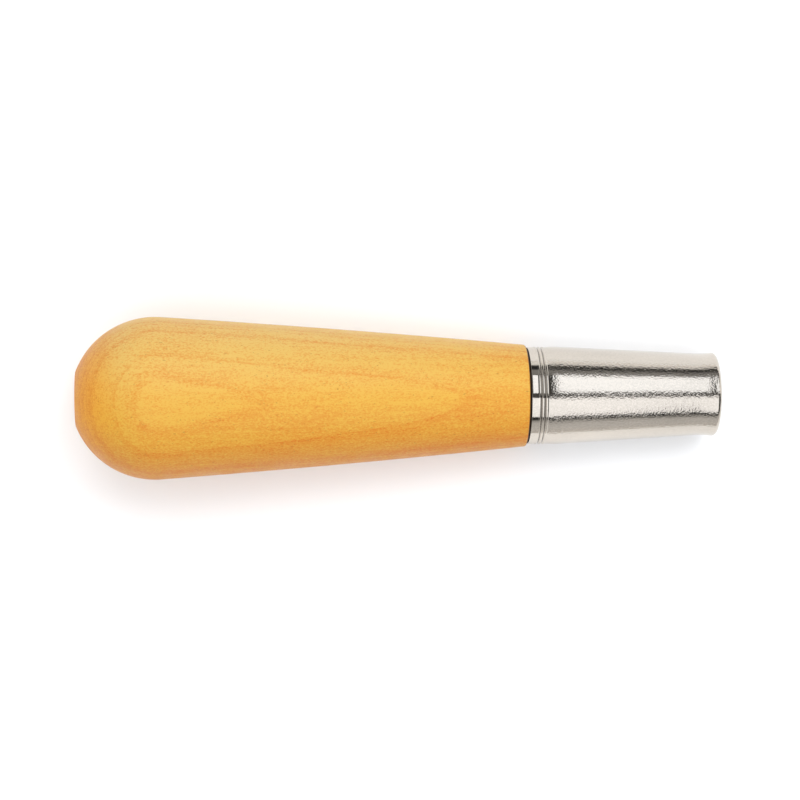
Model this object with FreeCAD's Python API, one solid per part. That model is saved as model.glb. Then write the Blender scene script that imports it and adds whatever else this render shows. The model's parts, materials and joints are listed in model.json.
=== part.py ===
"""Lino cutter handle: a turned hardwood grip, a drawn ferrule and a sprung socket for nib-style cutters.

Every piece is first made about the tool's own axis, which runs along +X from the butt (x = 0) to the
mouth of the ferrule (x = overall_length).  The half-sections are drawn in x and r, the distance from
that axis, and turned.  At the end the whole tool is laid down the way it rests on a table: the bulb
and the lip of the ferrule both touch z = 0, and the middle of the tool stands over the origin.

The cutter's half-round tang goes between the sleeve and the leaves of the spring crown.  The leaves
press it outwards against the sleeve, as in a dip pen's holder.

All sizes are in millimetres and degrees.
"""

import FreeCAD
import Part
import math
import os

# Overall
overall_length = 120.0

# Grip: a pear-shaped turning with a flat butt, a round dome and a long, slightly swelled taper
bulb_diameter = 30.3
dome_radius = 15.8
butt_diameter = 10.2
butt_edge_round = 0.6
taper_swell_angle = 0.8
shoulder_diameter = 19.06
shoulder_edge_round = 0.45

# Ferrule: one drawn sheet shell with a plain band, rolled beads and grooves, a cone and a hemmed lip
ferrule_length = 35.8
ferrule_wall = 0.5
shoulder_step = 0.42
band_edge_round = 0.2
first_bead_from_base = 1.32
bead_width = 0.36
bead_rise = 0.05
groove_width = 0.35
groove_depth = 0.12
groove_count = 2
body_dip = 0.06
body_swell_radius = 19.0
body_swell_angle = 6.0
neck_diameter = 15.5
neck_from_mouth = 4.8
lip_flare = 0.13
lip_flare_angle = 6.0
lip_bend_radius = 0.75
hem_length = 1.7

# Socket: a flanged sleeve pressed into the grip's nose
socket_bore_diameter = 9.6
sleeve_wall = 0.6
socket_depth = 24.0
flange_thickness = 0.6
flange_overlap = 0.37
mouth_round = 0.4

# Spring crown: a washer with leaves round it, each on a short lug
leaf_count = 4
leaf_thickness = 0.35
leaf_spacing_angle = 28.0
leaf_tip_setback = 3.7
leaf_crest_share = 0.62
leaf_root_inset = 0.5
leaf_tip_inset = 0.6
lug_height = 1.2
lug_narrowing_angle = 11.0
crown_base_thickness = 0.4

# Rivet that holds the crown to the floor of the sleeve
rivet_diameter = 2.4
rivet_head_diameter = 4.0
rivet_head_height = 0.7
rivet_tail_diameter = 3.6
rivet_tail_height = 0.6

# Clearances
shoulder_gap = 0.22
ferrule_fit_gap = 0.03
nose_gap = 0.1
sleeve_fit_gap = 0.02
hem_gap = 0.05
crown_fit_gap = 0.15
leaf_wall_gap = 0.06
leaf_root_gap = 0.08
rivet_fit_gap = 0.02
floor_gap = 0.02
recess_gap = 0.3

# Stations along the axis that follow from the sizes above
ferrule_base_x = overall_length - ferrule_length
shoulder_x = ferrule_base_x - shoulder_gap
neck_x = overall_length - neck_from_mouth
flange_front_x = overall_length - hem_length - hem_gap
nose_x = flange_front_x - flange_thickness
socket_floor_x = flange_front_x - socket_depth
sleeve_end_x = socket_floor_x - sleeve_wall
crown_front_x = socket_floor_x + crown_base_thickness
leaf_root_x = crown_front_x + lug_height + leaf_root_gap + leaf_thickness / 2
leaf_tip_x = flange_front_x - leaf_tip_setback
leaf_crest_x = leaf_root_x + (leaf_tip_x - leaf_root_x) * leaf_crest_share
beads_start_x = ferrule_base_x + first_bead_from_base
cone_start_x = beads_start_x + groove_count * (bead_width + groove_width) + bead_width

# Radii that follow from the sizes above
band_radius = shoulder_diameter / 2 - shoulder_step
neck_radius = neck_diameter / 2
lip_radius = neck_radius + lip_flare
hem_radius = lip_radius - 2 * lip_bend_radius
flange_radius = hem_radius + flange_overlap
socket_radius = socket_bore_diameter / 2
sleeve_outer_radius = socket_radius + sleeve_wall
tenon_base_radius = band_radius - ferrule_wall - ferrule_fit_gap
nose_radius = neck_radius - ferrule_wall - nose_gap
leaf_crest_radius = socket_radius - leaf_wall_gap - leaf_thickness / 2
leaf_root_radius = leaf_crest_radius - leaf_root_inset
leaf_tip_radius = leaf_crest_radius - leaf_tip_inset
rivet_hole_radius = rivet_diameter / 2 + rivet_fit_gap

# Angles that follow from the sizes above
leaf_pitch_angle = 360.0 / leaf_count
leaf_span_angle = leaf_pitch_angle - leaf_spacing_angle
lug_span_angle = leaf_span_angle - 2 * lug_narrowing_angle

AXIS_POINT = FreeCAD.Vector(0, 0, 0)
AXIS = FreeCAD.Vector(1, 0, 0)
OUTLINE_STEPS = 400
LEAN_ROUNDS = 12


def at(x, r):
    """The point of the half-section at station x and distance r from the axis."""
    return FreeCAD.Vector(x, 0, r)


def line(start, end):
    return Part.LineSegment(at(*start), at(*end)).toShape()


def lines(*points):
    """Straight edges from each point to the next."""
    return [line(a, b) for a, b in zip(points, points[1:])]


def arc(start, middle, end):
    return Part.Arc(at(*start), at(*middle), at(*end)).toShape()


def on_circle(centre, radius, angle):
    """The point of a circle at an angle in degrees, counted from +X towards +r."""
    turn = math.radians(angle)
    return (centre[0] + radius * math.cos(turn), centre[1] + radius * math.sin(turn))


def arc_about(centre, radius, from_angle, to_angle):
    return arc(
        on_circle(centre, radius, from_angle),
        on_circle(centre, radius, (from_angle + to_angle) / 2),
        on_circle(centre, radius, to_angle),
    )


def smooth_curve(start, start_slope, end, end_slope):
    """A curve between two points that leaves and arrives at the given angles in degrees."""
    curve = Part.BSplineCurve()
    tangents = [
        FreeCAD.Vector(math.cos(math.radians(slope)), 0, math.sin(math.radians(slope)))
        for slope in (start_slope, end_slope)
    ]
    curve.interpolate(
        Points=[at(*start), at(*end)],
        InitialTangent=tangents[0],
        FinalTangent=tangents[1],
    )
    return curve.toShape()


def turned(edges, span=360.0):
    """The solid swept by a closed half-section about the axis, centred on +Z when it is less than full."""
    face = Part.Face(Part.Wire(edges))
    if span < 360.0:
        face.rotate(AXIS_POINT, AXIS, -span / 2)
    solid = face.revolve(AXIS_POINT, AXIS, span)
    if solid.Volume < 0:
        solid.reverse()
    return solid


def in_ring(shape, index):
    """A copy of a shape turned to the place of one of the crown's leaves."""
    copy = shape.copy()
    copy.rotate(AXIS_POINT, AXIS, leaf_pitch_angle * index)
    return copy


def body_swell():
    """Start and centre of the swell that opens the ferrule's body, and where the cone leaves it."""
    start = (cone_start_x + body_dip, band_radius - body_dip)
    turn = math.radians(body_swell_angle)
    centre = (
        start[0] + body_swell_radius * math.sin(turn),
        start[1] - body_swell_radius * math.cos(turn),
    )
    run, rise = neck_x - centre[0], neck_radius - centre[1]
    leave = math.atan2(rise, run) + math.acos(body_swell_radius / math.hypot(run, rise))
    return start, centre, math.degrees(leave)


def cone_slope():
    """Angle in degrees of the ferrule's cone against the axis."""
    return body_swell()[2] - 90.0


def dome_centre():
    """Centre of the bulb's dome, which meets the flat of the butt at the butt's diameter."""
    r = bulb_diameter / 2 - dome_radius
    return (math.sqrt(dome_radius**2 - (butt_diameter / 2 - r) ** 2), r)


def taper_arc():
    """Centre, radius and first angle of the long taper, tangent to the dome and ending at the shoulder.

    The taper leaves the dome flatter than a straight cone would, by the swell angle, and so bends
    gently all the way to the shoulder.
    """
    dome = dome_centre()
    run = shoulder_x - dome[0]
    rise = shoulder_diameter / 2 - dome[1]
    straight = math.asin(dome_radius / math.hypot(run, rise)) - math.atan2(rise, run)
    start = straight - math.radians(taper_swell_angle)
    along = run * math.sin(start) + rise * math.cos(start)
    extra = (run**2 + rise**2 - dome_radius**2) / (2 * (dome_radius - along))
    centre = (dome[0] - extra * math.sin(start), dome[1] - extra * math.cos(start))
    return centre, dome_radius + extra, 90.0 - math.degrees(start)


def rounded_corner(centre, radius, face_x, size):
    """Centre of a round between an arc and a flat face across the axis, and where it meets the arc.

    A positive size puts the round behind the face at face_x and a negative size in front of it.
    """
    reach = radius - abs(size)
    x = face_x - size
    r = centre[1] + math.sqrt(reach**2 - (x - centre[0]) ** 2)
    return (x, r), math.degrees(math.atan2(r - centre[1], x - centre[0]))


def grip_profile():
    """The grip's outer outline, from the flat of the butt to the flat of the shoulder."""
    dome = dome_centre()
    taper_centre, taper_radius, taper_angle = taper_arc()
    butt_corner, butt_angle = rounded_corner(dome, dome_radius, 0, -butt_edge_round)
    shoulder_corner, shoulder_angle = rounded_corner(
        taper_centre, taper_radius, shoulder_x, shoulder_edge_round
    )
    return [
        arc_about(butt_corner, butt_edge_round, 180.0, butt_angle),
        arc_about(dome, dome_radius, butt_angle, taper_angle),
        arc_about(taper_centre, taper_radius, taper_angle, shoulder_angle),
        arc_about(shoulder_corner, shoulder_edge_round, shoulder_angle, 0.0),
    ]


def grip():
    """Turned hardwood: bulb, taper, shoulder, the tenon inside the ferrule and the hole for the sleeve."""
    hole_radius = sleeve_outer_radius + sleeve_fit_gap
    hole_floor_x = sleeve_end_x - floor_gap
    recess_radius = rivet_tail_diameter / 2 + recess_gap
    recess_x = hole_floor_x - rivet_tail_height - recess_gap
    profile = grip_profile()
    butt_rim = profile[0].firstVertex(True).Point
    shoulder_rim = profile[-1].lastVertex(True).Point
    outline = [
        *lines((recess_x, 0), (0, 0), (0, butt_rim.z)),
        *profile,
        *lines(
            (shoulder_x, shoulder_rim.z),
            (shoulder_x, tenon_base_radius),
            (cone_start_x, tenon_base_radius),
            (neck_x, nose_radius),
            (nose_x, nose_radius),
            (nose_x, hole_radius),
            (hole_floor_x, hole_radius),
            (hole_floor_x, recess_radius),
            (recess_x, recess_radius),
            (recess_x, 0),
        ),
    ]
    return turned(outline)


def swell(start_x, width, rise):
    """An arc that rises from the band's surface, or sinks into it, and comes back to it."""
    return arc(
        (start_x, band_radius),
        (start_x + width / 2, band_radius + rise),
        (start_x + width, band_radius),
    )


def lip_centre():
    """Centre of the lip's bend."""
    return (overall_length - lip_bend_radius, lip_radius - lip_bend_radius)


def ferrule_outside():
    """The ferrule's outer outline, from the edge at its base to the front of the lip."""
    corner = (ferrule_base_x + band_edge_round, band_radius - band_edge_round)
    neck = (neck_x, neck_radius)
    flare_angle = 90.0 + lip_flare_angle
    flare_end = on_circle(lip_centre(), lip_bend_radius, flare_angle)
    body_start, swell_centre, leave_angle = body_swell()
    edges = [
        arc_about(corner, band_edge_round, 180.0, 90.0),
        line((corner[0], band_radius), (beads_start_x, band_radius)),
    ]
    for index in range(groove_count):
        bead_x = beads_start_x + index * (bead_width + groove_width)
        edges.append(swell(bead_x, bead_width, bead_rise))
        edges.append(swell(bead_x + bead_width, groove_width, -groove_depth))
    edges += [
        swell(cone_start_x - bead_width, bead_width, bead_rise),
        line((cone_start_x, band_radius), body_start),
        arc_about(
            swell_centre, body_swell_radius, 90.0 + body_swell_angle, leave_angle
        ),
        line(on_circle(swell_centre, body_swell_radius, leave_angle), neck),
        smooth_curve(neck, cone_slope(), flare_end, lip_flare_angle),
        arc_about(lip_centre(), lip_bend_radius, flare_angle, -90.0),
    ]
    return edges


def ferrule_inside():
    """The ferrule's inner outline, from the front of the hem to the edge at its base."""
    bend_x, _ = lip_centre()
    hem_x = overall_length - hem_length
    inner_bend = lip_bend_radius - ferrule_wall
    inner_band = band_radius - ferrule_wall
    neck = (neck_x, neck_radius - ferrule_wall)
    flare_angle = 90.0 + lip_flare_angle
    flare_end = on_circle(lip_centre(), inner_bend, flare_angle)
    return [
        *lines(
            (bend_x, hem_radius),
            (hem_x, hem_radius),
            (hem_x, hem_radius + ferrule_wall),
            (bend_x, hem_radius + ferrule_wall),
        ),
        arc_about(lip_centre(), inner_bend, -90.0, flare_angle),
        smooth_curve(flare_end, lip_flare_angle + 180.0, neck, cone_slope() + 180.0),
        *lines(
            neck,
            (cone_start_x, inner_band),
            (ferrule_base_x, inner_band),
            (ferrule_base_x, band_radius - band_edge_round),
        ),
    ]


def ferrule():
    """Nickel-plated shell that keeps the tenon from splitting and traps the sleeve's flange."""
    return turned([*ferrule_outside(), *ferrule_inside()])


def socket_sleeve():
    """Flanged cup pressed into the tenon: the wall that the cutter's tang is pressed against."""
    lead_centre = (flange_front_x - mouth_round, socket_radius + mouth_round)
    outline = [
        *lines(
            (flange_front_x, lead_centre[1]),
            (flange_front_x, flange_radius),
            (nose_x, flange_radius),
            (nose_x, sleeve_outer_radius),
            (sleeve_end_x, sleeve_outer_radius),
            (sleeve_end_x, rivet_hole_radius),
            (socket_floor_x, rivet_hole_radius),
            (socket_floor_x, socket_radius),
            (lead_centre[0], socket_radius),
        ),
        arc_about(lead_centre, mouth_round, 270.0, 360.0),
    ]
    return turned(outline)


def crown_base():
    """Pressed base of the spring crown: a washer with one short lug under each leaf."""
    washer_radius = socket_radius - crown_fit_gap
    washer = turned(
        lines(
            (socket_floor_x, rivet_hole_radius),
            (socket_floor_x, washer_radius),
            (crown_front_x, washer_radius),
            (crown_front_x, rivet_hole_radius),
            (socket_floor_x, rivet_hole_radius),
        )
    )
    inner = leaf_root_radius - leaf_thickness / 2
    outer = leaf_root_radius + leaf_thickness / 2
    lug = turned(
        lines(
            (socket_floor_x, inner),
            (socket_floor_x, outer),
            (crown_front_x + lug_height, outer),
            (crown_front_x + lug_height, inner),
            (socket_floor_x, inner),
        ),
        lug_span_angle,
    )
    lugs = [in_ring(lug, index) for index in range(leaf_count)]
    return washer.multiFuse(lugs).removeSplitter()


def bow(end_x, end_radius):
    """The arc of a leaf's middle line from its crest to one end: centre, radius and the end's angle."""
    run = end_x - leaf_crest_x
    drop = leaf_crest_radius - end_radius
    radius = (run**2 + drop**2) / (2 * drop)
    centre = (leaf_crest_x, leaf_crest_radius - radius)
    return (
        centre,
        radius,
        math.degrees(math.atan2(end_radius - centre[1], end_x - centre[0])),
    )


def leaf():
    """One leaf of the spring crown, standing on +Z: it bows out to the sleeve and turns in at its tip."""
    half = leaf_thickness / 2
    root_centre, root_reach, root_angle = bow(leaf_root_x, leaf_root_radius)
    tip_centre, tip_reach, tip_angle = bow(leaf_tip_x, leaf_tip_radius)
    outline = [
        arc_about(
            (leaf_root_x, leaf_root_radius), half, root_angle + 180.0, root_angle
        ),
        arc_about(root_centre, root_reach + half, root_angle, 90.0),
        arc_about(tip_centre, tip_reach + half, 90.0, tip_angle),
        arc_about((leaf_tip_x, leaf_tip_radius), half, tip_angle, tip_angle - 180.0),
        arc_about(tip_centre, tip_reach - half, tip_angle, 90.0),
        arc_about(root_centre, root_reach - half, 90.0, root_angle),
    ]
    return turned(outline, leaf_span_angle)


def crown_rivet():
    """Domed rivet through the crown's washer and the sleeve's floor, closed over behind it."""
    shank_radius = rivet_diameter / 2
    head_radius = rivet_head_diameter / 2
    tail_radius = rivet_tail_diameter / 2
    tail_x = sleeve_end_x - rivet_tail_height
    head_x = crown_front_x + rivet_head_height
    head_reach = (head_radius**2 + rivet_head_height**2) / (2 * rivet_head_height)
    rim_angle = math.degrees(math.asin(head_radius / head_reach))
    outline = [
        *lines(
            (head_x, 0),
            (tail_x, 0),
            (tail_x, tail_radius),
            (sleeve_end_x, tail_radius),
            (sleeve_end_x, shank_radius),
            (crown_front_x, shank_radius),
            (crown_front_x, head_radius),
        ),
        arc_about((head_x - head_reach, 0), head_reach, rim_angle, 0.0),
    ]
    return turned(outline)


def pieces():
    """Every piece by its node's name, about the tool's own axis."""
    made = {
        "grip": grip(),
        "ferrule": ferrule(),
        "socket_sleeve": socket_sleeve(),
        "crown_base": crown_base(),
        "crown_rivet": crown_rivet(),
    }
    for index in range(leaf_count):
        made[f"leaf_{index + 1}"] = in_ring(leaf(), index)
    return made


def outline_points():
    """Points close together along the grip's and the ferrule's outer outlines, each as x and r."""
    return [
        [(p.x, p.z) for edge in profile for p in edge.discretize(OUTLINE_STEPS)]
        for profile in (grip_profile(), ferrule_outside())
    ]


def resting_lean(grip_points, ferrule_points):
    """The axis's lean, in radians, when the bulb and the ferrule's lip both touch the table."""

    def depth(point):
        return point[0] * math.sin(lean) + point[1] * math.cos(lean)

    lean = 0.0
    for _ in range(LEAN_ROUNDS):
        bulb = max(grip_points, key=depth)
        lip = max(ferrule_points, key=depth)
        lean = math.atan2(bulb[1] - lip[1], lip[0] - bulb[0])
    return lean


def lying_down():
    """The placement that lays the tool on the table with its mouth to +X and its middle over the origin."""
    grip_points, ferrule_points = outline_points()
    lean = resting_lean(grip_points, ferrule_points)
    sine, cosine = math.sin(lean), math.cos(lean)
    points = grip_points + ferrule_points
    front = max(x * cosine + r * sine for x, r in points)
    back = min(x * cosine - r * sine for x, r in points)
    height = max(x * sine + r * cosine for x, r in points)
    return FreeCAD.Placement(
        FreeCAD.Vector(-(front + back) / 2, 0, height),
        FreeCAD.Rotation(FreeCAD.Vector(0, 1, 0), math.degrees(lean)),
    )


def main():
    os.makedirs("parts", exist_ok=True)
    placement = lying_down()
    for name, shape in pieces().items():
        shape.Placement = placement.multiply(shape.Placement)
        shape.exportStep(f"parts/{name}.step")


if __name__ == "__main__":
    main()
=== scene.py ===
import json
import math

import bmesh
import bpy
from bpy.props import FloatProperty, FloatVectorProperty, PointerProperty
from mathutils import Matrix, Vector


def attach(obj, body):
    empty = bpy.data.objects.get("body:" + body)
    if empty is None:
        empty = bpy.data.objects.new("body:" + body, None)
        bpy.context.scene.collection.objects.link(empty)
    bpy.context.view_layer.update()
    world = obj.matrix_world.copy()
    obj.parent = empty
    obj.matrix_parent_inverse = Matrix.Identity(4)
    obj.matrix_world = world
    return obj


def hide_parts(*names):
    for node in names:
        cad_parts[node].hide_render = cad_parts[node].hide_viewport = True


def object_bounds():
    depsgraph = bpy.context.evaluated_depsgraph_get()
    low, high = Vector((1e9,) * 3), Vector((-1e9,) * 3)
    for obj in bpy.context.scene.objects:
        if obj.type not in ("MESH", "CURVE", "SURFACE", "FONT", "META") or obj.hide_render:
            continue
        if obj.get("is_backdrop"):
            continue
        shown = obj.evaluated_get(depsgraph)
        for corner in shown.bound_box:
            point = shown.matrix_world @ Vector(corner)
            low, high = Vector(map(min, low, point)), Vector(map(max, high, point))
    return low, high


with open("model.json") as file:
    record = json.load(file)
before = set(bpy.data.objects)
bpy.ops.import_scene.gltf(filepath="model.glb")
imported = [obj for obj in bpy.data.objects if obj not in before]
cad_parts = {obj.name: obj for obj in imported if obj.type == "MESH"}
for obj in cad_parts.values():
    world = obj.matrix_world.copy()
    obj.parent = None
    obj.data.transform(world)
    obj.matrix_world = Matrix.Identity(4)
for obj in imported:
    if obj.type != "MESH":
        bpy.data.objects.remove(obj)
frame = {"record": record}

bl_info = {
    "name": "Lino cutter handle",
    "version": (1, 0, 0),
    "blender": (4, 5, 0),
    "location": "3D View > Sidebar > Lino cutter",
    "description": "Turns, presses and finishes the pieces of a push-in lino cutter's handle",
    "category": "Add Mesh",
}


def record_mount(name):
    return next(m for m in frame["record"]["mounts"] if m["name"] == name)


# The tool's own axis runs from the middle of the butt to the middle of the mouth. Every piece is
# made about it, with stations along x and distances from it in r, and then laid where it rests.
BUTT = Vector(record_mount("butt_face")["pos_m"])
MOUTH = Vector(record_mount("cutter_socket")["pos_m"])
OVERALL_LENGTH = (MOUTH - BUTT).length
LEAN = math.atan2(BUTT.z - MOUTH.z, MOUTH.x - BUTT.x)
LYING_DOWN = Matrix.Translation(BUTT) @ Matrix.Rotation(LEAN, 4, "Y")

MM = 0.001
FACETS = 192
LEAF_COUNT = 4
GROOVE_COUNT = 2
CREASE_ANGLE = math.radians(35)

# Clearances between pieces that fit into or over each other
DISC_GAP = 0.01 * MM
PRESS_GAP = 0.02 * MM
TENON_GAP = 0.03 * MM
HEM_GAP = 0.05 * MM
EYE_GAP = 0.05 * MM
CREST_GAP = 0.06 * MM
LUG_GAP = 0.08 * MM
NOSE_GAP = 0.1 * MM
RIM_GAP = 0.17 * MM
RECESS_GAP = 0.3 * MM


def length(name, description, default_mm):
    default = default_mm * MM
    return FloatProperty(
        name=name, description=description, default=default, min=0.0, unit="LENGTH", precision=5
    )


def turn_of(name, description, default_degrees):
    default = math.radians(default_degrees)
    return FloatProperty(name=name, description=description, default=default, unit="ROTATION")


def colour(name, description, default):
    limits = {"size": 3, "min": 0.0, "max": 1.0, "subtype": "COLOR"}
    return FloatVectorProperty(name=name, description=description, default=default, **limits)


def share(name, description, default, soft_max=1.0):
    return FloatProperty(
        name=name,
        description=description,
        default=default,
        min=0.0,
        soft_max=soft_max,
        subtype="FACTOR" if soft_max == 1.0 else "NONE",
    )


class LINO_PG_grip(bpy.types.PropertyGroup):
    """Sizes of the turned hardwood grip and the look of its wood"""

    bulb_diameter: length("Bulb diameter", "Width of the bulb at its widest", 30.3)
    dome_radius: length("Dome radius", "Radius of the round end of the bulb", 15.8)
    butt_diameter: length("Butt diameter", "Width of the small flat at the butt", 10.2)
    butt_edge_round: length("Butt edge", "Rounding between flat and dome", 0.6)
    taper_swell: turn_of("Taper swell", "How much the taper bows outwards", 0.8)
    shoulder_diameter: length("Shoulder", "Width where the grip meets the ferrule", 19.06)
    shoulder_edge_round: length("Shoulder edge", "Rounding of the shoulder", 0.45)
    shoulder_gap: length("Shoulder gap", "Open joint before the ferrule", 0.22)
    pale_wood: colour("Pale wood", "Earlywood under the varnish", (0.622, 0.350, 0.047))
    dark_wood: colour("Dark wood", "Latewood and heartwood", (0.56, 0.155, 0.011))
    end_wood: colour("End grain", "Warm end grain of the dome", (0.76, 0.30, 0.012))
    # Sapwood: painted sheen, a paler, yellower colour laid over the far side of the grip, where
    # the light falls.
    painted_sheen_colour: colour("Sapwood", "Paler wood on the far side", (0.63, 0.415, 0.115))
    fleck_colour: colour("Flecks", "Short dark flecks of cut vessels", (0.22, 0.08, 0.015))
    ring_width: length("Ring width", "Width of one year's growth", 2.0)
    pith_depth: length("Pith depth", "Distance of the tree's centre below the axis", 34.0)
    ring_strength: share("Rings", "How dark the growth rings are", 0.28)
    fibre_strength: share("Fibre", "Contrast of the long fibres", 0.75)
    grain_strength: share("Grain", "Contrast of the fine grain", 1.9, 4.0)
    mottle_strength: share("Mottle", "Contrast of the broad mottle", 0.45)
    heart_strength: share("Heartwood", "How dark the near side is", 0.4)
    fleck_strength: share("Fleck strength", "How dark the flecks are", 0.45)
    varnish_roughness: share("Varnish roughness", "How satin the varnish is", 0.42)


class LINO_PG_ferrule(bpy.types.PropertyGroup):
    """Sizes of the nickel-plated ferrule and the look of its plating"""

    ferrule_length: length("Length", "From its base to the lip", 35.8)
    wall: length("Wall", "Thickness of the sheet", 0.5)
    shoulder_step: length("Step", "How far it stands in from the grip", 0.42)
    band_edge_round: length("Base edge", "Rounding of the edge at its base", 0.2)
    first_bead: length("First bead", "Distance of the beads from the base", 1.32)
    bead_width: length("Bead width", "Width of each raised bead", 0.36)
    bead_rise: length("Bead rise", "Height of each raised bead", 0.05)
    groove_width: length("Groove width", "Width of each rolled groove", 0.35)
    groove_depth: length("Groove depth", "Depth of each rolled groove", 0.12)
    body_dip: length("Body dip", "How far the body starts in from the last bead", 0.06)
    body_swell_radius: length("Body swell", "Radius of the swell after the last bead", 19.0)
    body_swell_angle: turn_of("Swell angle", "Slope at which the swell rises", 6.0)
    neck_diameter: length("Neck", "Narrowest width, behind the lip", 15.5)
    neck_from_mouth: length("Neck distance", "Distance of the neck from the mouth", 4.8)
    lip_flare: length("Lip flare", "How far the lip stands out from the neck", 0.13)
    lip_flare_angle: turn_of("Flare angle", "Slope of the sheet before the lip", 6.0)
    lip_bend_radius: length("Lip bend", "Outer radius of the rolled lip", 0.75)
    hem_length: length("Hem", "Length of the sheet folded back inside", 1.7)
    nickel: colour("Nickel", "Tint of the plating", (0.61, 0.555, 0.485))
    pit_depth: share("Pits", "Depth of the plating's fine pits against the sheet's grain", 0.75)
    # Grime: painted shade, a near-black colour laid in the bottoms of the grooves where shade
    # falls.
    groove_shade_strength: share("Grime", "How dark the dirt in the grooves is", 0.7)
    body_roughness: share("Body roughness", "Roughness of the drawn cone", 0.085)
    band_roughness: share("Band roughness", "Roughness of the polished band", 0.06)


class LINO_PG_socket(bpy.types.PropertyGroup):
    """Sizes of the sleeve, the spring crown and its rivet"""

    bore_diameter: length("Bore", "Inside width of the sleeve", 9.6)
    sleeve_wall: length("Sleeve wall", "Thickness of the sleeve", 0.6)
    depth: length("Depth", "Depth of the sleeve", 24.0)
    flange_thickness: length("Flange", "Thickness of the sleeve's flange", 0.6)
    flange_overlap: length("Overlap", "How far the flange reaches behind the hem", 0.37)
    mouth_round: length("Lead-in", "Rounding of the sleeve's mouth", 0.4)
    leaf_thickness: length("Leaf thickness", "Thickness of the spring's sheet", 0.35)
    leaf_gap: turn_of("Leaf gap", "Angle left free between two leaves", 28.0)
    leaf_setback: length("Setback", "Distance of the leaf tips behind the flange", 3.7)
    leaf_crest: share("Crest", "Where along the leaf it touches the sleeve", 0.62)
    root_inset: length("Root inset", "How far the root stands in from the crest", 0.5)
    tip_inset: length("Tip inset", "How far the tip turns in from the crest", 0.6)
    tip_round: length("Tip round", "Rounding of the leaf's corners", 1.5)
    lug_height: length("Lug height", "Height of the lugs that carry the leaves", 1.2)
    lug_narrowing: turn_of("Lug narrowing", "How much narrower than the leaf a lug is", 11.0)
    disc_thickness: length("Disc", "Thickness of the crown's disc", 0.4)
    rivet_diameter: length("Rivet", "Width of the rivet's shank", 2.4)
    rivet_head: length("Rivet head", "Width of the rivet's head", 4.0)
    rivet_head_height: length("Head height", "Height of the rivet's head", 0.7)
    rivet_tail: length("Rivet tail", "Width of the closed end", 3.6)
    rivet_tail_height: length("Tail height", "Height of the closed end", 0.6)
    sleeve_steel: colour("Sleeve steel", "Bright drawn steel", (0.62, 0.61, 0.59))
    spring_steel: colour("Spring steel", "Tempered spring steel", (0.42, 0.42, 0.43))
    rivet_steel: colour("Rivet steel", "Bright rivet", (0.66, 0.65, 0.62))


class LINO_PG_stage(bpy.types.PropertyGroup):
    """The table, the soft lights and the camera"""

    table_tone: share("Table", "Brightness of the table", 0.9)
    lights_height: length("Light height", "Height of the soft lights", 600.0)
    key_strength: share("Key", "Strength of the soft light on the far side", 1.6, 5.0)
    core_strength: share("Core", "How much brighter the middle of that light is", 0.9, 5.0)
    fill_strength: share("Fill", "Strength of the soft light on the near side", 1.47, 5.0)
    bounce_strength: share("Bounce", "Strength of the broad light from the far side", 2.15, 9.0)
    room_strength: share("Room", "Strength of the light from the pale room", 1.3, 5.0)
    card_distance: length("Card distance", "Distance of the dull card from the tool", 76.0)
    # Card: how bright the glowing card is, a painted reflection that shows only in the metal.
    card_glow: share("Card", "Brightness of the dull card in the metal", 0.78)
    camera_height: length("Camera height", "Height of the camera above the table", 500.0)
    lens: FloatProperty(
        name="Lens", description="Focal length in millimetres", default=117.2, min=10.0
    )


# Outlines: half-sections drawn with straight runs and swings, then turned about the axis


def start_at(bm, x, r):
    return bm.verts.new((x, 0.0, r))


def run_to(bm, last, x, r, cuts=0):
    """Carries an outline straight on to station x and distance r from the axis."""
    start, end = last.co.copy(), Vector((x, 0.0, r))
    for step in range(cuts + 1):
        point = bm.verts.new(start.lerp(end, (step + 1) / (cuts + 1)))
        bm.edges.new((last, point))
        last = point
    return last


def swing(bm, last, centre, angle, steps):
    """Carries an outline round a centre by an angle, counted from +x towards +r."""
    middle, axis = (centre[0], 0.0, centre[1]), (0.0, -1.0, 0.0)
    made = bmesh.ops.spin(bm, geom=[last], cent=middle, axis=axis, angle=angle, steps=steps)
    return next(v for v in made["geom_last"] if isinstance(v, bmesh.types.BMVert))


def swell(bm, last, width, rise, steps=8):
    """A small arc that rises from a straight run, or sinks into it, and comes back to it."""
    reach = (width**2 / 4 + rise**2) / (2 * abs(rise))
    half = math.asin(width / 2 / reach)
    side = math.copysign(1.0, rise)
    centre = (last.co.x + width / 2, last.co.z + rise - side * reach)
    return swing(bm, last, centre, -2 * side * half, steps)


def ease(bm, point, offset, segments=4):
    """Rounds one corner of an outline."""
    way = {"offset_type": "OFFSET", "profile": 0.5, "affect": "VERTICES", "material": -1}
    bmesh.ops.bevel(bm, geom=[point], offset=offset, segments=segments, **way)


def turn(bm, facets=FACETS, angle=math.tau):
    """Turns an outline about the axis, into a closed body or by part of a turn."""
    bmesh.ops.spin(
        bm,
        geom=bm.verts[:] + bm.edges[:],
        cent=(0.0, 0.0, 0.0),
        axis=(1.0, 0.0, 0.0),
        angle=angle,
        steps=facets,
        use_merge=angle == math.tau,
    )
    bmesh.ops.remove_doubles(bm, verts=bm.verts[:], dist=1e-6)
    bmesh.ops.recalc_face_normals(bm, faces=bm.faces[:])


def roll(bm, angle):
    """Rolls everything made so far about the axis."""
    bmesh.ops.transform(bm, matrix=Matrix.Rotation(angle, 4, "X"), verts=bm.verts[:])


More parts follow.
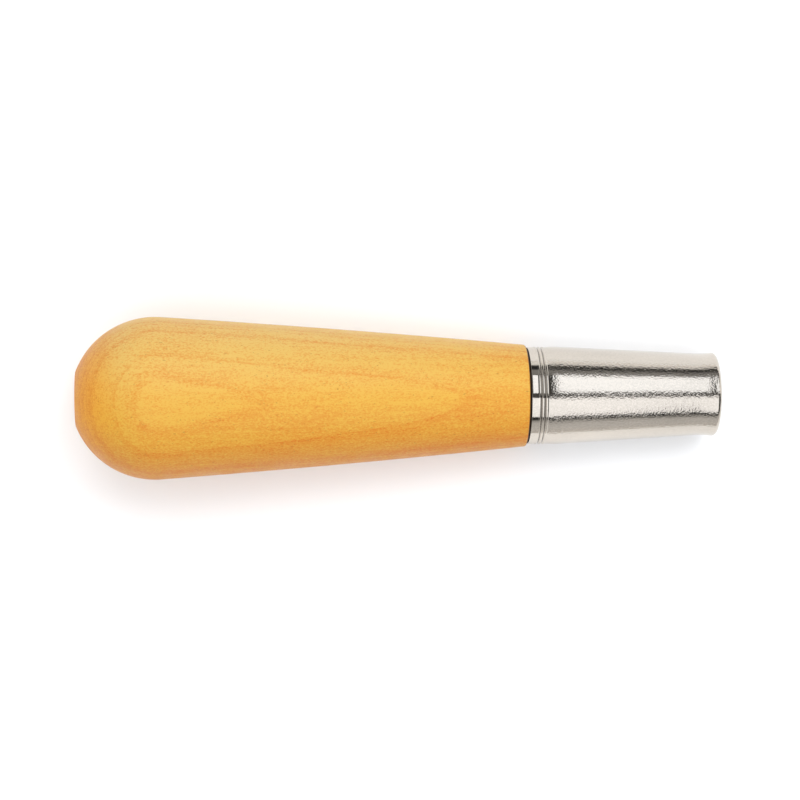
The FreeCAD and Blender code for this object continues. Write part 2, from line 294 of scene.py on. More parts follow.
def finished(bm, name, body, slot, material, *nodes):
    """Lays a made piece down in its place and gives it its finish."""
    bmesh.ops.transform(bm, matrix=LYING_DOWN, verts=bm.verts[:])
    mesh = bpy.data.meshes.new(name)
    bm.to_mesh(mesh)
    bm.free()
    mesh.shade_smooth()
    mesh.set_sharp_from_angle(angle=CREASE_ANGLE)
    mesh.materials.append(material)
    piece = bpy.data.objects.new(name, mesh)
    bpy.context.scene.collection.objects.link(piece)
    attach(piece, body)
    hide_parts(*nodes)
    return piece


# Places along the axis and distances from it that more than one piece shares


def dome_centre(grip):
    """Centre of the dome, which meets the flat of the butt at the butt's diameter."""
    r = grip.bulb_diameter / 2 - grip.dome_radius
    return (math.sqrt(grip.dome_radius**2 - (grip.butt_diameter / 2 - r) ** 2), r)


def taper_arc(grip, shoulder_x):
    """Centre, radius and first angle of the taper, which leaves the dome without a corner."""
    dome, reach = dome_centre(grip), grip.dome_radius
    run = shoulder_x - dome[0]
    rise = grip.shoulder_diameter / 2 - dome[1]
    straight = math.asin(reach / math.hypot(run, rise)) - math.atan2(rise, run)
    start = straight - grip.taper_swell
    along = run * math.sin(start) + rise * math.cos(start)
    extra = (run**2 + rise**2 - reach**2) / (2 * (reach - along))
    centre = (dome[0] - extra * math.sin(start), dome[1] - extra * math.cos(start))
    return centre, reach + extra, math.pi / 2 - start


def rounded_corner(centre, radius, face_x, size):
    """Centre of a round between an arc and a flat face, and the angle where it meets the arc."""
    reach = radius - abs(size)
    x = face_x - size
    r = centre[1] + math.sqrt(reach**2 - (x - centre[0]) ** 2)
    return (x, r), math.atan2(r - centre[1], x - centre[0])


def ferrule_places(grip, ferrule):
    """Stations and radii of the ferrule that its neighbours need too."""
    base_x = OVERALL_LENGTH - ferrule.ferrule_length
    beads_x = base_x + ferrule.first_bead
    grooves = GROOVE_COUNT * (ferrule.bead_width + ferrule.groove_width)
    cone_x = beads_x + grooves + ferrule.bead_width
    return {
        "base_x": base_x,
        "beads_x": beads_x,
        "cone_x": cone_x,
        "neck_x": OVERALL_LENGTH - ferrule.neck_from_mouth,
        "band_r": grip.shoulder_diameter / 2 - ferrule.shoulder_step,
        "neck_r": ferrule.neck_diameter / 2,
        "lip_r": ferrule.neck_diameter / 2 + ferrule.lip_flare,
    }


def body_swell(places, ferrule):
    """Start and centre of the swell after the beads, and the angle where the cone leaves it."""
    reach, rise = ferrule.body_swell_radius, ferrule.body_swell_angle
    start = (places["cone_x"] + ferrule.body_dip, places["band_r"] - ferrule.body_dip)
    centre = (start[0] + reach * math.sin(rise), start[1] - reach * math.cos(rise))
    run, drop = places["neck_x"] - centre[0], places["neck_r"] - centre[1]
    leave = math.atan2(drop, run) + math.acos(reach / math.hypot(run, drop))
    return start, centre, leave


def socket_places(ferrule, socket):
    """Stations and radii of the socket's pieces."""
    flange_x = OVERALL_LENGTH - ferrule.hem_length - HEM_GAP
    floor_x = flange_x - socket.depth
    bore_r = socket.bore_diameter / 2
    crown_x = floor_x + socket.disc_thickness
    root_x = crown_x + socket.lug_height + LUG_GAP + socket.leaf_thickness / 2
    tip_x = flange_x - socket.leaf_setback
    crest_r = bore_r - CREST_GAP - socket.leaf_thickness / 2
    hem_r = ferrule.neck_diameter / 2 + ferrule.lip_flare - 2 * ferrule.lip_bend_radius
    return {
        "flange_x": flange_x,
        "nose_x": flange_x - socket.flange_thickness,
        "floor_x": floor_x,
        "end_x": floor_x - socket.sleeve_wall,
        "crown_x": crown_x,
        "root_x": root_x,
        "tip_x": tip_x,
        "crest_x": root_x + (tip_x - root_x) * socket.leaf_crest,
        "bore_r": bore_r,
        "outer_r": bore_r + socket.sleeve_wall,
        "flange_r": hem_r + socket.flange_overlap,
        "crest_r": crest_r,
        "root_r": crest_r - socket.root_inset,
        "tip_r": crest_r - socket.tip_inset,
        "hole_r": socket.rivet_diameter / 2 + PRESS_GAP,
    }


# Finishes


def feed(tree, node, inputs):
    """Fills a node's own inputs: each gets a value, or a link from an output."""
    for key, value in inputs.items():
        socket = node.inputs[key]
        if isinstance(value, bpy.types.NodeSocket):
            tree.links.new(value, socket)
        else:
            socket.default_value = value


def add(tree, kind, inputs=None, **settings):
    node = tree.nodes.new(kind)
    for key, value in settings.items():
        setattr(node, key, value)
    feed(tree, node, inputs or {})
    return node


def math_of(tree, operation, *values):
    inputs = dict(enumerate(values))
    return add(tree, "ShaderNodeMath", inputs, operation=operation).outputs[0]


def remapped(tree, value, low, high, to_low=0.0, to_high=1.0, kind="SMOOTHSTEP"):
    inputs = {"Value": value, 1: low, 2: high, 3: to_low, 4: to_high}
    return add(tree, "ShaderNodeMapRange", inputs, interpolation_type=kind).outputs[0]


def mixed(tree, factor, first, second):
    inputs = {0: factor, 6: first, 7: second}
    return add(tree, "ShaderNodeMix", inputs, data_type="RGBA").outputs[2]


def ramp(tree, value, *stops):
    """A ramp of grey values over a value from 0 to 1."""
    node = add(tree, "ShaderNodeValToRGB", {0: value})
    elements = node.color_ramp.elements
    while len(elements) < len(stops):
        elements.new(0.5)
    for element, (place, _) in zip(elements, stops):
        element.position = place
    for element, (_, shade) in zip(elements, stops):
        element.color = (shade, shade, shade, 1.0)
    return node.outputs[0]


def noise(tree, vector, scale, detail=2.0, roughness=0.5, output="Fac"):
    inputs = {"Vector": vector, "Scale": scale, "Detail": detail, "Roughness": roughness}
    return add(tree, "ShaderNodeTexNoise", inputs).outputs[output]


def stretched(tree, vector, along):
    """Coordinates scaled along the axis only, which draws grain and streaks out lengthwise."""
    inputs = {"Vector": vector, "Scale": (along, 1.0, 1.0)}
    return add(tree, "ShaderNodeMapping", inputs).outputs[0]


def bumped(tree, shader, height, strength, distance):
    inputs = {"Strength": strength, "Distance": distance, "Height": height}
    feed(tree, shader, {"Normal": add(tree, "ShaderNodeBump", inputs).outputs[0]})


def new_group(name, inputs, outputs):
    """An empty node group with its sockets: (name, type, default) and (name, type)."""
    group = bpy.data.node_groups.new(name, "ShaderNodeTree")
    for socket_name, kind, default in inputs:
        socket = group.interface.new_socket(socket_name, in_out="INPUT", socket_type=kind)
        if default is not None:
            socket.default_value = default
    for socket_name, kind in outputs:
        group.interface.new_socket(socket_name, in_out="OUTPUT", socket_type=kind)
    return group, group.nodes.new("NodeGroupInput"), group.nodes.new("NodeGroupOutput")


def tool_coordinates():
    """Places on the tool in metres: x from the butt along its axis, y and z across it."""
    name = "Tool coordinates"
    if name in bpy.data.node_groups:
        return bpy.data.node_groups[name]
    outputs = (("Place", "NodeSocketVector"), ("Station", "NodeSocketFloat"))
    group, _, out = new_group(name, (), outputs)
    place = add(group, "ShaderNodeTexCoord").outputs["Object"]
    inputs = {"Vector": place, "Location": BUTT, "Rotation": (0.0, LEAN, 0.0)}
    mapping = add(group, "ShaderNodeMapping", inputs, vector_type="TEXTURE").outputs[0]
    station = add(group, "ShaderNodeSeparateXYZ", {0: mapping}).outputs[0]
    group.links.new(mapping, out.inputs["Place"])
    group.links.new(station, out.inputs["Station"])
    return group


def drawn_metal():
    """Grain and lengthwise streaks of worked sheet: a height and a tone, both about 0.5."""
    name = "Drawn metal"
    if name in bpy.data.node_groups:
        return bpy.data.node_groups[name]
    group, into, out = new_group(
        name,
        (
            ("Place", "NodeSocketVector", None),
            ("Grain size", "NodeSocketFloat", 0.25 * MM),
            ("Streaks", "NodeSocketFloat", 0.5),
        ),
        (("Height", "NodeSocketFloat"), ("Tone", "NodeSocketFloat")),
    )
    place = into.outputs["Place"]
    scale = math_of(group, "DIVIDE", 1.0, into.outputs["Grain size"])
    grain = noise(group, stretched(group, place, 0.8), scale, roughness=0.6)
    fine = math_of(group, "MULTIPLY", scale, 0.55)
    streak = noise(group, stretched(group, place, 0.02), fine, detail=3.0, roughness=0.6)
    pair = math_of(group, "SUBTRACT", streak, grain)
    height = math_of(group, "MULTIPLY_ADD", pair, into.outputs["Streaks"], grain)
    broad = noise(group, stretched(group, place, 0.3), 160.0)
    tone = math_of(group, "MULTIPLY_ADD", height, 0.6, math_of(group, "MULTIPLY", broad, 0.4))
    group.links.new(height, out.inputs["Height"])
    group.links.new(tone, out.inputs["Tone"])
    return group


def placed(tree, group, inputs=None):
    return add(tree, "ShaderNodeGroup", inputs, node_tree=group)


def new_material(name):
    material = bpy.data.materials.new(name)
    material.use_nodes = True
    tree = material.node_tree
    tree.nodes.clear()
    shader = tree.nodes.new("ShaderNodeBsdfPrincipled")
    output = tree.nodes.new("ShaderNodeOutputMaterial")
    tree.links.new(shader.outputs[0], output.inputs[0])
    return material, tree, shader


def growth_rings(tree, place, grip):
    """Dark rings about the tree's centre, which lies under the axis and sinks to the mouth."""
    wander, pith_aside, pith_slope = 1.3 * MM, 3.5 * MM, 0.04
    unsteady = noise(tree, stretched(tree, place, 0.25), 70.0, output="Color")
    middle = {0: unsteady, 1: (0.5, 0.5, 0.5)}
    shifted = add(tree, "ShaderNodeVectorMath", middle, operation="SUBTRACT").outputs[0]
    moved = {0: shifted, 1: (0.0, wander, wander), 2: place}
    grown = add(tree, "ShaderNodeVectorMath", moved, operation="MULTIPLY_ADD").outputs[0]
    along, across, up = add(tree, "ShaderNodeSeparateXYZ", {0: grown}).outputs
    depth = math_of(tree, "MULTIPLY_ADD", along, pith_slope, grip.pith_depth)
    from_pith = (math_of(tree, "SUBTRACT", across, pith_aside), math_of(tree, "ADD", up, depth))
    squares = (math_of(tree, "MULTIPLY", side, side) for side in from_pith)
    radius = math_of(tree, "SQRT", math_of(tree, "ADD", *squares))
    years = math_of(tree, "DIVIDE", radius, grip.ring_width)
    slow = {"W": years, "Scale": 0.35, "Detail": 1.0}
    growth = add(tree, "ShaderNodeTexNoise", slow, noise_dimensions="1D").outputs[0]
    season = math_of(tree, "FRACT", math_of(tree, "MULTIPLY_ADD", growth, 2.4, years))
    return ramp(tree, season, (0.0, 0.10), (0.35, 0.06), (0.78, 0.55), (0.93, 1.0), (1.0, 0.12))


def varnished_wood(grip, ferrule):
    """Pale hardwood with nested growth rings, short dark flecks and a satin varnish."""
    material, tree, shader = new_material("varnished_wood")
    place, station = placed(tree, tool_coordinates()).outputs
    ring = growth_rings(tree, place, grip)
    fibre = noise(tree, stretched(tree, place, 0.06), 1500.0, detail=3.0, roughness=0.6)
    grain = noise(tree, stretched(tree, place, 0.65), 3300.0, roughness=0.65)
    mottle = noise(tree, stretched(tree, place, 0.35), 120.0, detail=3.0, roughness=0.55)
    across = add(tree, "ShaderNodeSeparateXYZ", {0: place}).outputs[1]
    nearwards = math_of(tree, "MULTIPLY", across, -1.0)
    heart = remapped(
        tree, math_of(tree, "MULTIPLY_ADD", station, 0.1, nearwards), 4.0 * MM, 16.0 * MM
    )
    # Painted sheen: towards the far side, where the light falls, the wood is mixed to a paler,
    # yellower colour.
    painted_top_sheen = remapped(
        tree, math_of(tree, "MULTIPLY_ADD", station, -0.05, across), -5.5 * MM, 10.5 * MM
    )
    normal = add(tree, "ShaderNodeNewGeometry").outputs["Normal"]
    facing = {0: normal, 1: tuple((MOUTH - BUTT).normalized())}
    endwise = add(tree, "ShaderNodeVectorMath", facing, operation="DOT_PRODUCT").outputs["Value"]
    end_grain = remapped(tree, math_of(tree, "ABSOLUTE", endwise), 0.3, 0.95)

    # Each layer darkens the wood by its strength, counted from the value that leaves it alone
    darkness = 0.05
    for layer, neutral, strength in (
        (ring, 0.0, grip.ring_strength),
        (fibre, 0.5, grip.fibre_strength),
        (grain, 0.5, grip.grain_strength),
        (mottle, 0.45, grip.mottle_strength),
        (heart, 0.0, grip.heart_strength),
        (end_grain, 0.0, 0.15),
    ):
        change = math_of(tree, "SUBTRACT", layer, neutral)
        darkness = math_of(tree, "MULTIPLY_ADD", change, strength, darkness)

    pale = mixed(tree, painted_top_sheen, (*grip.pale_wood, 1.0), (*grip.painted_sheen_colour, 1.0))
    warm = math_of(tree, "MULTIPLY", end_grain, 0.75)
    pale = mixed(tree, warm, pale, (*grip.end_wood, 1.0))
    wood = mixed(tree, darkness, pale, (*grip.dark_wood, 1.0))
    speck = noise(tree, stretched(tree, place, 0.5), 3600.0, detail=1.0)
    fleck = remapped(tree, speck, 0.67, 0.77)
    flecked = math_of(tree, "MULTIPLY", fleck, grip.fleck_strength)
    wood = mixed(tree, flecked, wood, (*grip.fleck_colour, 1.0))

    # Painted shade: the wood from the outer edge of the shoulder into the open joint before the
    # ferrule is darkened almost to black.
    base_x = ferrule_places(grip, ferrule)["base_x"]
    joint = remapped(tree, station, base_x - 0.5 * MM, base_x - 0.28 * MM)
    joint_shade_colour = (0.03, 0.014, 0.006, 1.0)
    wood = mixed(tree, joint, wood, joint_shade_colour)
    sheen = noise(tree, place, 300.0, detail=3.0, roughness=0.6)
    satin, gloss = grip.varnish_roughness + 0.08, grip.varnish_roughness - 0.06
    roughness = remapped(tree, sheen, 0.3, 0.7, gloss, satin, "LINEAR")
    varnish = {"Roughness": roughness, "IOR": 1.5, "Specular IOR Level": 0.2}
    feed(tree, shader, {"Base Color": wood, **varnish})
    tool_marks = math_of(tree, "MULTIPLY", station, math.tau / (0.55 * MM))
    relief = math_of(tree, "MULTIPLY_ADD", fleck, -0.7, fibre)
    relief = math_of(tree, "MULTIPLY_ADD", math_of(tree, "SINE", tool_marks), 0.12, relief)
    bumped(tree, shader, relief, 0.35, 0.03 * MM)
    return material


def nickel_plate(grip, ferrule):
    """Nickel plate over drawn sheet: polished at the band, finely streaked on the cone."""
    places = ferrule_places(grip, ferrule)
    material, tree, shader = new_material("nickel_plate")
    place, station = placed(tree, tool_coordinates()).outputs
    inputs = {"Place": place, "Grain size": 0.24 * MM, "Streaks": 0.16}
    sheet = placed(tree, drawn_metal(), inputs)
    cone = remapped(tree, station, places["cone_x"] - 0.3 * MM, places["cone_x"] + 0.6 * MM)
    rough_tone = remapped(tree, sheet.outputs["Tone"], 0.3, 0.7, -0.03, 0.04, "LINEAR")
    body = math_of(tree, "ADD", rough_tone, ferrule.body_roughness)
    step = math_of(tree, "SUBTRACT", body, ferrule.band_roughness)
    roughness = math_of(tree, "MULTIPLY_ADD", step, cone, ferrule.band_roughness)
    tint = remapped(tree, sheet.outputs["Tone"], 0.3, 0.6, 0.0, 1.0, "LINEAR")
    worn = tuple(c * 0.78 for c in ferrule.nickel)
    plated = mixed(tree, tint, (*worn, 1.0), (*ferrule.nickel, 1.0))
    # Painted shade: the bottoms of the grooves are darkened towards a near-black colour, where
    # shade falls in them.
    groove_shade_mask = 0.0
    for index in range(GROOVE_COUNT):
        middle = places["beads_x"] + ferrule.bead_width + ferrule.groove_width / 2
        middle += index * (ferrule.bead_width + ferrule.groove_width)
        away = math_of(tree, "ABSOLUTE", math_of(tree, "SUBTRACT", station, middle))
        one = remapped(tree, away, ferrule.groove_width * 0.38, ferrule.groove_width * 0.1)
        groove_shade_mask = math_of(tree, "MAXIMUM", groove_shade_mask, one)
    painted_shade = math_of(tree, "MULTIPLY", groove_shade_mask, ferrule.groove_shade_strength)
    painted_shade_colour = (0.05, 0.042, 0.036, 1.0)
    plated = mixed(tree, painted_shade, plated, painted_shade_colour)
    feed(tree, shader, {"Base Color": plated, "Roughness": roughness, "Metallic": 1.0})
    depth = math_of(tree, "MULTIPLY_ADD", cone, 0.9, 0.1)
    pits = add(tree, "ShaderNodeTexVoronoi", {"Vector": place, "Scale": 2700.0})
    pitted = math_of(
        tree, "MULTIPLY_ADD", pits.outputs["Distance"], ferrule.pit_depth, sheet.outputs["Height"]
    )
    bumped(tree, shader, math_of(tree, "MULTIPLY", pitted, depth), 1.0, 0.02 * MM)
    return material


def bare_steel(name, tint, roughness, grain, streaks):
    """Bare steel of the pieces inside the socket, with the grain of drawing or rolling."""
    material, tree, shader = new_material(name)
    place = placed(tree, tool_coordinates()).outputs["Place"]
    inputs = {"Place": place, "Grain size": grain, "Streaks": streaks}
    sheet = placed(tree, drawn_metal(), inputs)
    tone = sheet.outputs["Tone"]
    rough = remapped(tree, tone, 0.3, 0.7, roughness - 0.07, roughness + 0.1, "LINEAR")
    shade = remapped(tree, tone, 0.35, 0.65, 0.0, 1.0, "LINEAR")
    steel = mixed(tree, shade, tuple(c * 0.7 for c in tint) + (1.0,), (*tint, 1.0))
    feed(tree, shader, {"Base Color": steel, "Roughness": rough, "Metallic": 1.0})
    bumped(tree, shader, sheet.outputs["Height"], 0.4, 0.02 * MM)
    return material


# Pieces


class LINO_OT_grip(bpy.types.Operator):
    """Turn the pear-shaped hardwood grip with its tenon and its bored socket"""

    bl_idname = "lino.grip"
    bl_label = "Turn the grip"

    def execute(self, context):
        grip, ferrule, socket = settings(context)
        places = ferrule_places(grip, ferrule)
        hole = socket_places(ferrule, socket)
        shoulder_x = places["base_x"] - grip.shoulder_gap
        tenon_r = places["band_r"] - ferrule.wall - TENON_GAP
        nose_r = places["neck_r"] - ferrule.wall - NOSE_GAP
        hole_r = hole["outer_r"] + PRESS_GAP
        hole_x = hole["end_x"] - PRESS_GAP
        recess_r = socket.rivet_tail / 2 + RECESS_GAP
        recess_x = hole_x - socket.rivet_tail_height - RECESS_GAP

        dome, reach = dome_centre(grip), grip.dome_radius
        taper, taper_reach, taper_start = taper_arc(grip, shoulder_x)
        butt, butt_end = rounded_corner(dome, reach, 0.0, -grip.butt_edge_round)
        shoulder, shoulder_start = rounded_corner(
            taper, taper_reach, shoulder_x, grip.shoulder_edge_round
        )

        bm = bmesh.new()
        last = start_at(bm, 0.0, 0.0)
        last = run_to(bm, last, 0.0, butt[1], cuts=6)
        last = swing(bm, last, butt, butt_end - math.pi, 8)
        last = swing(bm, last, dome, taper_start - butt_end, 48)
        last = swing(bm, last, taper, shoulder_start - taper_start, 56)
        last = swing(bm, last, shoulder, -shoulder_start, 10)
        last = run_to(bm, last, shoulder_x, tenon_r, cuts=1)
        last = run_to(bm, last, places["cone_x"], tenon_r, cuts=4)
        last = run_to(bm, last, places["neck_x"], nose_r, cuts=12)
        last = run_to(bm, last, hole["nose_x"], nose_r, cuts=2)
        last = run_to(bm, last, hole["nose_x"], hole_r)
        last = run_to(bm, last, hole_x, hole_r, cuts=8)
        last = run_to(bm, last, hole_x, recess_r)
        last = run_to(bm, last, recess_x, recess_r)
        run_to(bm, last, recess_x, 0.0)
        turn(bm)
        wood = varnished_wood(grip, ferrule)
        finished(bm, "turned_grip", "handle", "varnished_wood", wood, "grip")
        return {"FINISHED"}


class LINO_OT_ferrule(bpy.types.Operator):
    """Draw the nickel-plated ferrule with its beads, grooves and rolled lip"""

    bl_idname = "lino.ferrule"
    bl_label = "Draw the ferrule"

    def execute(self, context):
        grip, ferrule, _ = settings(context)
        places = ferrule_places(grip, ferrule)
        band_r, neck_r, wall = places["band_r"], places["neck_r"], ferrule.wall
        bend, edge = ferrule.lip_bend_radius, ferrule.band_edge_round
        lip = (OVERALL_LENGTH - bend, places["lip_r"] - bend)
        hem_r = lip[1] - bend
        hem_x = OVERALL_LENGTH - ferrule.hem_length
        body_start, swell_centre, leave = body_swell(places, ferrule)
        cone = leave - math.pi / 2
        flare = math.pi / 2 + ferrule.lip_flare_angle
        half_turn = flare + math.pi / 2
        neck_round, hem_round = 1.2 * MM, 0.15 * MM

        def flare_corner(reach, start_r):
            """End of the flare at the lip, and where its line meets the cone's."""
            end = (lip[0] + reach * math.cos(flare), lip[1] + reach * math.sin(flare))
            slope = math.tan(ferrule.lip_flare_angle)
            drop = end[1] - (end[0] - places["neck_x"]) * slope - start_r
            along = drop / (math.tan(cone) - slope)
            return end, (places["neck_x"] + along, start_r + along * math.tan(cone))

        end, corner = flare_corner(bend, neck_r)
        bm = bmesh.new()
        first = start_at(bm, places["base_x"], band_r - edge)
        last = swing(bm, first, (places["base_x"] + edge, band_r - edge), -math.pi / 2, 8)
        last = run_to(bm, last, places["beads_x"], band_r, cuts=8)
        for _ in range(GROOVE_COUNT):
            last = swell(bm, last, ferrule.bead_width, ferrule.bead_rise)
            last = swell(bm, last, ferrule.groove_width, -ferrule.groove_depth)
        last = swell(bm, last, ferrule.bead_width, ferrule.bead_rise)
        last = run_to(bm, last, *body_start)
        rising = math.pi / 2 + ferrule.body_swell_angle
        last = swing(bm, last, swell_centre, leave - rising, 12)
        last = run_to(bm, last, places["neck_x"], neck_r, cuts=24)
        outer = run_to(bm, last, *corner)
        last = run_to(bm, outer, *end)
        last = swing(bm, last, lip, -half_turn, 36)
        hem_front = run_to(bm, last, hem_x, hem_r, cuts=3)
        hem_back = run_to(bm, hem_front, hem_x, hem_r + wall)
        last = run_to(bm, hem_back, lip[0], hem_r + wall, cuts=3)
        last = swing(bm, last, lip, half_turn, 18)
        _, inner_corner = flare_corner(bend - wall, neck_r - wall)
        last = run_to(bm, last, *inner_corner)
        last = run_to(bm, last, places["neck_x"], neck_r - wall)
        last = run_to(bm, last, places["cone_x"], band_r - wall, cuts=10)
        last = run_to(bm, last, places["base_x"], band_r - wall, cuts=2)
        bm.edges.new((last, first))
        ease(bm, outer, neck_round, 12)
        ease(bm, hem_front, hem_round)
        ease(bm, hem_back, hem_round)
        turn(bm)
        plate = nickel_plate(grip, ferrule)
        finished(bm, "drawn_ferrule", "handle", "nickel_plate", plate, "ferrule")
        return {"FINISHED"}


class LINO_OT_sleeve(bpy.types.Operator):
    """Draw the flanged steel sleeve that lines the socket"""

    bl_idname = "lino.sleeve"
    bl_label = "Draw the sleeve"

    def execute(self, context):
        _, ferrule, socket = settings(context)
        hole = socket_places(ferrule, socket)
        lead = socket.mouth_round
        lead_centre = (hole["flange_x"] - lead, hole["bore_r"] + lead)
        bm = bmesh.new()
        first = start_at(bm, hole["flange_x"], lead_centre[1])
        rim = run_to(bm, first, hole["flange_x"], hole["flange_r"])
        last = run_to(bm, rim, hole["nose_x"], hole["flange_r"])
        last = run_to(bm, last, hole["nose_x"], hole["outer_r"])
        foot = run_to(bm, last, hole["end_x"], hole["outer_r"], cuts=12)
        last = run_to(bm, foot, hole["end_x"], hole["hole_r"], cuts=2)
        last = run_to(bm, last, hole["floor_x"], hole["hole_r"])
        corner = run_to(bm, last, hole["floor_x"], hole["bore_r"], cuts=3)
        last = run_to(bm, corner, lead_centre[0], hole["bore_r"], cuts=30)
        last = swing(bm, last, lead_centre, math.pi / 2, 9)
        bmesh.ops.remove_doubles(bm, verts=[first, last], dist=1e-7)
        for point, round_mm in ((rim, 0.1), (foot, 0.3), (corner, 0.12)):
            ease(bm, point, round_mm * MM)
        turn(bm)
        steel = bare_steel("sleeve_steel", socket.sleeve_steel, 0.24, 0.25 * MM, 0.8)
        finished(bm, "drawn_sleeve", "handle", "sleeve_steel", steel, "socket_sleeve")
        return {"FINISHED"}


class LINO_OT_crown(bpy.types.Operator):
    """Stamp the spring crown: a disc with lugs, and the leaves that the lugs carry"""

    bl_idname = "lino.crown"
    bl_label = "Stamp the crown"

    def execute(self, context):
        _, ferrule, socket = settings(context)
        hole = socket_places(ferrule, socket)
        steel = bare_steel("spring_steel", socket.spring_steel, 0.3, 0.18 * MM, 0.6)
        self.stamp_disc(socket, hole, steel)
        for index in range(LEAF_COUNT):
            self.stamp_leaf(socket, hole, steel, index)
        return {"FINISHED"}

    def stamp_disc(self, socket, hole, steel):
        """The disc, with a lug drawn up under each leaf."""
        pitch = math.tau / LEAF_COUNT
        lug_half = (pitch - socket.leaf_gap) / 2 - socket.lug_narrowing
        half_sheet = socket.leaf_thickness / 2
        back_x = hole["floor_x"] + DISC_GAP
        front_x = hole["crown_x"] - DISC_GAP
        rim_r = hole["bore_r"] - RIM_GAP
        eye_r = hole["hole_r"] + EYE_GAP
        edge_round = 0.05 * MM
        bm = bmesh.new()
        first = start_at(bm, back_x, eye_r)
        back = run_to(bm, first, back_x, rim_r, cuts=2)
        front = run_to(bm, back, front_x, rim_r)
        last = run_to(bm, front, front_x, hole["root_r"] + half_sheet)
        last = run_to(bm, last, front_x, hole["root_r"] - half_sheet)
        last = run_to(bm, last, front_x, eye_r, cuts=1)
        bm.edges.new((last, first))
        ease(bm, back, edge_round, 2)
        ease(bm, front, edge_round, 2)
        turn(bm, facets=72)

        def carries_a_lug(face):
            middle = face.calc_center_median()
            off_sheet = math.hypot(middle.y, middle.z) - hole["root_r"]
            round_the_axis = math.atan2(middle.y, middle.z) % pitch
            from_leaf = min(round_the_axis, pitch - round_the_axis)
            return (
                abs(middle.x - front_x) < 0.001 * MM
                and abs(off_sheet) < half_sheet
                and from_leaf < lug_half
            )

        feet = [face for face in bm.faces if carries_a_lug(face)]
        drawn = bmesh.ops.extrude_face_region(bm, geom=feet)
        tops = [part for part in drawn["geom"] if isinstance(part, bmesh.types.BMVert)]
        bmesh.ops.translate(bm, verts=tops, vec=(socket.lug_height, 0.0, 0.0))
        finished(bm, "crown_disc", "handle", "spring_steel", steel, "crown_base")

    def stamp_leaf(self, socket, hole, steel, index):
        """One leaf, cut to shape on its middle surface, then given its thickness."""
        span = math.tau / LEAF_COUNT - socket.leaf_gap
        bm = bmesh.new()
        last = start_at(bm, hole["root_x"], hole["root_r"])
        for end, end_r, steps in (("root_x", hole["root_r"], 20), ("tip_x", hole["tip_r"], 14)):
            run = hole[end] - hole["crest_x"]
            drop = hole["crest_r"] - end_r
            reach = (run**2 + drop**2) / (2 * drop)
            angle = math.asin(abs(run) / reach)
            centre = (hole["crest_x"], hole["crest_r"] - reach)
            last = swing(bm, last, centre, -angle, steps)
        roll(bm, -span / 2)
        turn(bm, 20, span)
        self.cut_to_shape(bm, socket, hole, span)
        roll(bm, math.tau / LEAF_COUNT * index)
        name = f"spring_leaf_{index + 1}"
        node = f"leaf_{index + 1}"
        leaf = finished(bm, name, node, "spring_steel", steel, node)
        sheet = leaf.modifiers.new("Sheet", "SOLIDIFY")
        sheet.thickness = socket.leaf_thickness
        sheet.offset = 0.0
        edge = leaf.modifiers.new("Deburred edge", "BEVEL")
        edge.width = 0.06 * MM
        edge.segments = 2
        edge.limit_method = "ANGLE"

    def cut_to_shape(self, bm, socket, hole, span):
        """Narrows the leaf towards its lug and rounds its tip."""
        half = hole["tip_r"] * math.sin(span / 2)
        lug = hole["root_r"] * math.sin(span / 2 - socket.lug_narrowing)
        size = socket.tip_round
        flank, corner_step = math.radians(35), math.radians(15)
        cuts = []
        for side in (1.0, -1.0):
            centre = Vector((hole["tip_x"] - size, side * (half - size), 0.0))
            for step in range(1, 6):
                angle = corner_step * step
                out = Vector((math.cos(angle), side * math.sin(angle), 0.0))
                cuts.append((centre + out * size, out))
            out = Vector((-math.sin(flank), side * math.cos(flank), 0.0))
            cuts.append((Vector((hole["root_x"], side * lug, 0.0)), out))
        for point, out in cuts:
            sheet = bm.verts[:] + bm.edges[:] + bm.faces[:]
            bmesh.ops.bisect_plane(
                bm, geom=sheet, plane_co=point, plane_no=out, clear_outer=True
            )


class LINO_OT_rivet(bpy.types.Operator):
    """Set the rivet that holds the crown to the floor of the sleeve"""

    bl_idname = "lino.rivet"
    bl_label = "Set the rivet"

    def execute(self, context):
        _, ferrule, socket = settings(context)
        hole = socket_places(ferrule, socket)
        shank_r, head_r = socket.rivet_diameter / 2, socket.rivet_head / 2
        tail_r, rise = socket.rivet_tail / 2, socket.rivet_head_height
        tail_x = hole["end_x"] - socket.rivet_tail_height
        reach = (head_r**2 + rise**2) / (2 * rise)
        rim = math.asin(head_r / reach)
        bm = bmesh.new()
        last = start_at(bm, tail_x, 0.0)
        tail = run_to(bm, last, tail_x, tail_r, cuts=2)
        last = run_to(bm, tail, hole["end_x"], tail_r)
        last = run_to(bm, last, hole["end_x"], shank_r)
        last = run_to(bm, last, hole["crown_x"], shank_r)
        last = run_to(bm, last, hole["crown_x"], head_r)
        last = swing(bm, last, (hole["crown_x"] + rise - reach, 0.0), -rim, 14)
        ease(bm, tail, 0.15 * MM)
        turn(bm, facets=96)
        steel = bare_steel("rivet_steel", socket.rivet_steel, 0.26, 0.2 * MM, 0.2)
        finished(bm, "set_rivet", "handle", "rivet_steel", steel, "crown_rivet")
        return {"FINISHED"}


# Stage


def clouded(tree, scale, first, second):
    """Two tones in broad soft clouds."""
    place = add(tree, "ShaderNodeTexCoord").outputs["Object"]
    return mixed(tree, noise(tree, place, scale), (*first, 1.0), (*second, 1.0))


def pale_table(tone):
    """A plain pale table, very slightly uneven in tone."""
    material, tree, shader = new_material("pale_table")
    shade = clouded(tree, 6.0, (tone * 0.99,) * 3, (tone,) * 3)
    feed(tree, shader, {"Base Color": shade, "Roughness": 0.9, "Specular IOR Level": 0.1})
    return material


